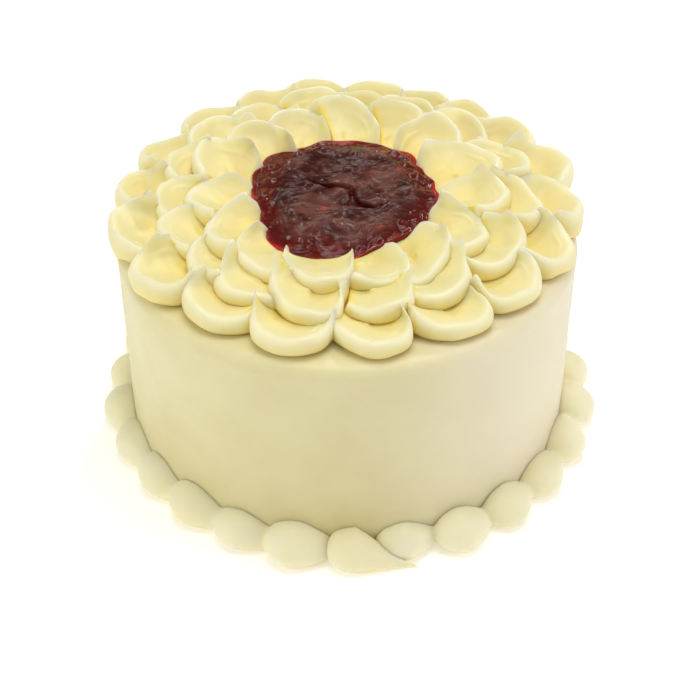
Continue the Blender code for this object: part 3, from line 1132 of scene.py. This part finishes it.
@dataclass
class JamPool:
    """The pool of jam in the middle of the top: a thick heap in a lower, clearer margin."""

    node: str = "jam"
    segments: int = 320
    rings: int = 120
    top_rings: int = 104
    wall_rings: int = 10
    centre_y: float = 7.0 * MM
    radius: float = 39.6 * MM
    height: float = 11.4 * MM
    edge_height: float = 8.8 * MM
    margin: float = 1.5 * MM
    waves: tuple[tuple[int, float, float], ...] = (
        (1, 2.7 * MM, -1.13),
        (2, 3.0 * MM, -1.21),
        (3, 1.9 * MM, 1.16),
        (4, 1.5 * MM, -3.04),
        (8, 0.8 * MM, 0.9),
        (13, 0.6 * MM, 3.0),
        (21, 0.35 * MM, 1.2),
    )
    swell_height: float = 0.90 * MM
    wrinkle_height: float = 0.62 * MM
    fine_height: float = 0.34 * MM
    furrow_depth: float = 1.1 * MM
    warp: float = 9 * MM  # how far its folds wander, and over what length
    warp_length: float = 15 * MM
    gap: float = 0.3 * MM
    lumps: int = 100
    lump_range: tuple[float, float] = (0.45, 0.96)  # squares of their shares of the radius
    lump_sizes: tuple[float, float] = (0.6, 1.8)  # mm
    seeds: int = 30
    seed_size: Triple = (0.95 * MM, 0.6 * MM, 0.45 * MM)
    seed: int = 21

    def edge(self, turn: np.ndarray) -> np.ndarray:
        """Distance from the middle of the pool to its uneven edge."""
        return self.radius + sum(size * np.sin(n * turn + shift) for n, size, shift in self.waves)

    def share(self, points: np.ndarray) -> np.ndarray:
        """Distance of each place from the middle of the pool, as a share of the edge's."""
        x, y = points[:, 0], points[:, 1] - self.centre_y
        return np.hypot(x, y) / self.edge(np.arctan2(y, x))

    def build(self, drum: IcedDrum, finish: bpy.types.Material) -> bpy.types.Object:
        """Models and dresses the pool.

        Args:
            drum: The cake that it lies on.
            finish: The jam's material.

        Returns:
            The finished piece.
        """
        pool = new_sphere("jam_pool", self.segments, self.rings)
        level, turn = level_and_turn(points_of(pool), self.rings)
        top = level <= self.top_rings
        down = np.clip((level - self.top_rings) / self.wall_rings, 0, 1)
        below = level > self.top_rings + self.wall_rings
        left = (self.rings - level) / (self.rings - self.top_rings - self.wall_rings)
        share = np.where(top, (level / self.top_rings) ** 0.85, 1.0)
        share = np.where(below, left, share * (1 - 0.02 * down))
        reach = self.edge(turn) * share
        points = polar(reach, turn, np.zeros(len(reach)))
        flat = self.height - (self.height - self.edge_height) * share**9
        height = np.where(top, flat, self.edge_height * (1 - down) + self.gap * down)
        calm = np.where(top, 1 - rise(0.94, 1.0, share), 0)
        relief, furrow, shore, lump = self._relief(points, share)
        points[:, 2] = np.where(below, self.gap, height + relief * calm) + drum.top
        points[:, 1] += self.centre_y
        set_points(pool, points)
        inward = (1 - share) * self.radius
        patchy = 0.15 + 0.85 * rise(0.0, 0.6, np.sin(5 * turn + 0.6) * np.sin(3 * turn + 2.0))
        edge = np.where(top, bell(inward, 0.0, 1.7 * MM), 1.0)
        set_mask(pool, "thin", 0.9 * edge * patchy)
        # Painted shade in furrows and valleys, left off at the edge.
        set_mask(pool, "furrow", furrow * (1 - edge))
        set_mask(pool, "shore", shore)
        set_mask(pool, "lump", np.where(top, lump, 0))
        hand_over(pool, finish, Slot.JAM, self.node)
        return pool

    def _relief(
        self, points: np.ndarray, share: np.ndarray
    ) -> tuple[np.ndarray, np.ndarray, np.ndarray, np.ndarray]:
        """Shapes the jam's surface.

        Args:
            points: Places over the pool, round its middle.
            share: Each place's distance from the middle, as a share of the edge's.

        Returns:
            The height of its folds, wrinkles and lumps of fruit, and masks of painted shade in its
            furrows and wrinkles' valleys, of its lower, clearer margin and of the lumps.
        """
        warp = [clouds(points, self.warp_length, shift) for shift in (5.0, 11.0)]
        bent = points.copy()
        bent[:, :2] += np.column_stack(warp) * self.warp
        drawn = bent * np.array((0.42, 1.30, 1.0))
        wrinkle = 1 - np.abs(clouds(drawn, 3.2 * MM, 9.0)) * 2.4
        fine = clouds(drawn * 2.3, 3.0 * MM, 14.0)
        swells = clouds(points, 10 * MM, 2.0)
        fold = bent[:, 0] * 0.55 + bent[:, 1] * 0.83  # the edge of the last spoonful
        furrow = bell(fold, 0.5 * MM, 1.1 * MM) * rise(-19 * MM, -12 * MM, bent[:, 0])
        furrow *= 1 - rise(8 * MM, 14 * MM, bent[:, 0])
        shore = rise(0.70, 0.86, share + 0.14 * clouds(points, 12 * MM, 31.0))
        shore = np.maximum(shore, 0.9 * rise(0.15, 0.6, furrow))
        rough = self.wrinkle_height * wrinkle + self.fine_height * fine
        relief = self.swell_height * swells + rough * (1 - 0.35 * shore)
        relief -= self.furrow_depth * furrow + self.margin * shore
        draw = random.Random(self.seed)
        lump = np.zeros(len(points))
        for _ in range(self.lumps):
            angle, out = draw.uniform(0, math.tau), math.sqrt(draw.uniform(*self.lump_range))
            x, y = self.radius * out * math.cos(angle), self.radius * out * math.sin(angle)
            size = draw.uniform(*self.lump_sizes) * MM
            rounded = bell(np.hypot(points[:, 0] - x, points[:, 1] - y), 0.0, size)
            relief += draw.uniform(0.5, 1.0) * size * rounded
            lump = np.maximum(lump, rounded)
        # Painted shade in the valleys between wrinkles.
        low = np.clip(0.60 - 0.50 * wrinkle, 0, 1) * 0.6
        return relief, np.maximum(0.9 * furrow, low), shore, lump

    def sow(self, pool: bpy.types.Object, finish: bpy.types.Material) -> bpy.types.Object:
        """Sinks seeds into the jam.

        Args:
            pool: The finished pool of jam.
            finish: The seeds' material.

        Returns:
            All seeds as one piece.
        """
        draw = random.Random(self.seed + 1)
        surface = BVHTree.FromObject(pool, bpy.context.evaluated_depsgraph_get())
        pattern = new_sphere("seed_pattern", 10, 7)
        bpy.ops.transform.resize(value=self.seed_size)
        bpy.ops.object.transform_apply(location=False, rotation=False, scale=True)
        seeds = []
        for _ in range(self.seeds):
            angle, out = draw.uniform(0, math.tau), math.sqrt(draw.uniform(0.0, 0.88))
            reach = out * float(self.edge(np.array([angle]))[0])
            start = Vector((reach * math.cos(angle), reach * math.sin(angle) + self.centre_y, 1))
            spot, normal, _, _ = surface.ray_cast(start, Vector((0, 0, -1)))
            if spot is None:
                continue
            seed = pattern.copy()
            seed.data = pattern.data.copy()
            bpy.context.scene.collection.objects.link(seed)
            lie = normal.to_track_quat("Z", "Y").to_matrix().to_4x4()
            spin = Matrix.Rotation(draw.uniform(0, math.tau), 4, "Z")
            seed.data.transform(Matrix.Translation(spot) @ lie @ spin)
            seeds.append(seed)
        bpy.data.objects.remove(pattern)
        piece = join("jam_seeds", seeds)
        hand_over(piece, finish, Slot.JAM)
        return piece


# ---------------------------------------------------------------- the shell border


@dataclass
class ShellBorder:
    """The shells piped round the foot, anticlockwise from the first one."""

    node: str = "shell_border"
    count: int = 26
    first: float = math.radians(284)
    sweep: float = math.radians(348)
    centre: float = 94.6 * MM
    segments: int = 56
    rings: int = 40
    head_length: float = 12.0 * MM
    tail_length: float = 20.0 * MM
    half_width: float = 10.0 * MM
    height: float = 14.8 * MM
    taper: float = 0.66
    tuck: float = 2.6 * MM  # how far the end of a tail lies in towards the cake
    length_spread: float = 0.10
    size_spread: float = 0.07
    place_spread: float = 0.7 * MM
    pressed_side: float = math.radians(222)
    pressed_spread: float = math.radians(36)
    pressed_by: float = 4.0 * MM
    fineness: float = 0.65 * MM
    first_in: float = 4.0 * MM  # how much nearer to the cake the first shell lies
    flick_length: float = 23.0 * MM  # the last shell's tail, in front of the first shell
    flick_taper: float = 0.90
    flick_out: float = 7.5 * MM
    seed: int = 7

    def build(self, drum: IcedDrum, finish: bpy.types.Material) -> bpy.types.Object:
        """Models and dresses the border.

        Args:
            drum: The cake that it runs round.
            finish: The icing's material.

        Returns:
            All shells as one piece.
        """
        draw = random.Random(self.seed)
        step = self.sweep / (self.count - 1)
        shells = [
            self._shell(place, self.first + place * step, draw, drum) for place in range(self.count)
        ]
        last = shells.pop()
        border = join("shell_icing", shells)
        melt = border.modifiers.new("melt", "REMESH")
        melt.mode = "VOXEL"
        melt.voxel_size = self.fineness
        soften = border.modifiers.new("soften", "SMOOTH")
        soften.factor = 0.5
        soften.iterations = 10
        apply_modifiers(border)
        border = join("shell_icing", [border, last])
        swell(border, 8 * MM, 0.5 * MM)
        points = points_of(border)
        points[:, 2] = np.maximum(points[:, 2], 0)
        set_points(border, points)
        # Painted shade: yellower and darker near the floor.
        set_mask(border, "deep", 0.03 + 0.32 * (1 - rise(0.0, 4.5 * MM, points[:, 2])))
        hand_over(border, finish, Slot.ICING, self.node)
        return border

    def _shell(
        self, place: int, angle: float, draw: random.Random, drum: IcedDrum
    ) -> bpy.types.Object:
        """Models one shell: a round head, and a tail that the next head covers.

        The first shell lies further in, and the last one's tail runs free in front of it.

        Args:
            place: Number of the shell, from 0.
            angle: Azimuth of the middle of its head.
            draw: Source of the unevenness that all shells share.
            drum: The cake that it leans on.

        Returns:
            The shell, flat where it stands.
        """
        free = place == self.count - 1
        length = 1 + draw.uniform(-self.length_spread, self.length_spread)
        size = 1 + draw.uniform(-self.size_spread, self.size_spread)
        off_side = math.remainder(angle - self.pressed_side, math.tau) / self.pressed_spread
        radius = self.centre - self.pressed_by * math.exp(-(off_side**2))
        radius += draw.uniform(-self.place_spread, self.place_spread)
        if place == 0:
            radius -= self.first_in
        piece = new_sphere(f"shell_{place:02d}", self.segments, self.rings)
        whole = points_of(piece)
        x, y, z = whole[:, 2], whole[:, 1], -whole[:, 0]
        tail = np.maximum(x, 0)
        tail_length = self.flick_length if free else self.tail_length
        along = np.where(x > 0, x * tail_length, x * self.head_length) * length
        taper = 1 - self.flick_taper * tail if free else 1 - self.taper * tail**1.4
        drift = self.flick_out * tail**1.2 if free else -self.tuck * tail
        across = y * self.half_width * size * taper
        up = np.maximum(0, self.height * size * taper * (0.42 + 0.58 * z))
        bend = angle + along / radius
        reach = np.maximum(radius - across + drift, drum.radius - 0.5 * MM)
        set_points(piece, polar(reach, bend, up))
        return piece


# ---------------------------------------------------------------- the studio


@dataclass(frozen=True)
class SoftLight:
    """A large area light that points at the cake."""

    name: str
    place: Triple
    size: float
    power: float
    colour: Triple = (1.0, 1.0, 1.0)

    def build(self, target: Vector) -> bpy.types.Object:
        """Adds the light.

        Args:
            target: The place that it points at.

        Returns:
            The light.
        """
        data = bpy.data.lights.new(self.name, "AREA")
        data.shape = "DISK"
        data.size = self.size
        data.energy = self.power
        data.color = self.colour
        light = bpy.data.objects.new(self.name, data)
        bpy.context.scene.collection.objects.link(light)
        light.location = self.place
        light.rotation_mode = "QUATERNION"
        light.rotation_quaternion = (Vector(self.place) - target).to_track_quat("Z", "Y")
        return light


@dataclass
class Studio:
    """A plain pale floor, soft lights and the camera."""

    camera_place: Triple = (0.0012, -0.4906, 0.4225)
    camera_tilt: float = math.radians(51.13)
    focal_length: float = 77.14  # mm on a sensor 36 mm wide
    horizon: float = 0.395
    zenith: float = 0.36
    dim_way: Triple = (0.0, 0.76, 0.65)  # the wall that the jam mirrors
    dimmed: float = 0.30
    lights: tuple[SoftLight, ...] = (
        SoftLight("soft_top", (0.06, -0.02, 1.10), 0.6, 4.9),
        SoftLight("soft_left", (-0.95, -0.45, 0.50), 0.6, 2.85, (1.0, 0.99, 0.91)),
        SoftLight("soft_right", (0.95, -0.25, 0.40), 0.6, 2.4, (0.89, 0.87, 1.0)),
        SoftLight("small_back", (0.12, 0.62, 0.80), 0.12, 1.9),
    )

    def build(self) -> None:
        """Sets up the floor, the sky, the lights and the camera."""
        self._floor()
        self._sky()
        for light in self.lights:
            light.build(Vector((0, 0, 0.06)))
        self._camera()

    @staticmethod
    def _floor() -> None:
        """Lays the floor just under the cake."""
        select_only()
        bpy.ops.mesh.primitive_plane_add(size=12, location=(0, 0, -0.2 * MM))
        floor = bpy.context.active_object
        floor.name = "floor"
        paint, tree = Tree.of_material("floor_paint")
        tree.shade(
            in_Base_Color=(0.95, 0.95, 0.945, 1),
            in_Roughness=0.8,
            in_Emission_Color=(1, 1, 1, 1),
            in_Emission_Strength=0.26,
        )
        floor.data.materials.append(paint)

    def _sky(self) -> None:
        """Fills the room with soft light from its pale walls and a dimmer ceiling."""
        world = bpy.data.worlds.new("room")
        world.use_nodes = True
        tree = Tree(world.node_tree)
        way = tree.add("ShaderNodeTexCoord").outputs["Generated"]
        up = tree.add("ShaderNodeSeparateXYZ", in_Vector=way).outputs[2]
        strength = tree.span(up, 0.35, 1.0, self.horizon, self.zenith)
        near = tree.add(
            "ShaderNodeVectorMath", operation="DOT_PRODUCT", in_0=way, in_1=self.dim_way
        )
        dim = tree.span(near.outputs["Value"], 0.70, 0.95, 1.0, self.dimmed)
        strength = tree.math("MULTIPLY", strength, dim)
        pale = (1.0, 0.995, 0.985, 1)
        room = tree.add("ShaderNodeBackground", in_Color=pale, in_Strength=strength)
        tree.add("ShaderNodeOutputWorld", in_0=room.outputs[0])
        bpy.context.scene.world = world
        bpy.context.scene.view_settings.view_transform = "Standard"

    def _camera(self) -> None:
        """Sets up the camera at the front, looking down on the top."""
        data = bpy.data.cameras.new("camera")
        data.lens = self.focal_length
        data.sensor_width = 36.0
        data.clip_start = 0.01
        camera = bpy.data.objects.new("camera", data)
        camera.location = self.camera_place
        camera.rotation_euler = (self.camera_tilt, 0, 0)
        bpy.context.scene.collection.objects.link(camera)
        bpy.context.scene.camera = camera


def main() -> None:
    """Builds every piece in order and reports it."""
    logging.basicConfig(level=logging.INFO, format="%(name)s: %(message)s")
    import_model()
    drum = IcedDrum()
    # The drum is a shaded copy of the buttercream: a darker pale, a dark olive painted shade and a
    # paler painted light.
    drum_finish = IcingFinish(
        "icing_smooth",
        pale=(0.83, 0.765, 0.45, 1),
        deep=(0.56, 0.46, 0.14, 1),
        thin=(0.87, 0.79, 0.61, 1),
    ).build()
    petal_finish = IcingFinish(
        "icing_scooped", stroke_scale=(2.2, 9.0, 1.0), stroke_map="stroke", relief=0.12 * MM
    ).build()
    shell_finish = IcingFinish(
        "icing_piped", pale=(0.91, 0.86, 0.60, 1), stroke_scale=(90.0, 90.0, 90.0)
    ).build()
    pieces = [drum.build(drum_finish)]
    jam = JamPool()
    pieces += [petal.build(drum, jam, petal_finish) for petal in PetalTop().petals(drum)]
    pool = jam.build(drum, JamFinish().build())
    pieces += [pool, jam.sow(pool, SeedFinish().build())]
    pieces.append(ShellBorder().build(drum, shell_finish))
    for piece in pieces:
        LOG.info("%s: %d faces", piece.name, len(piece.data.polygons))
    Studio().build()


if __name__ == "__main__":
    main()
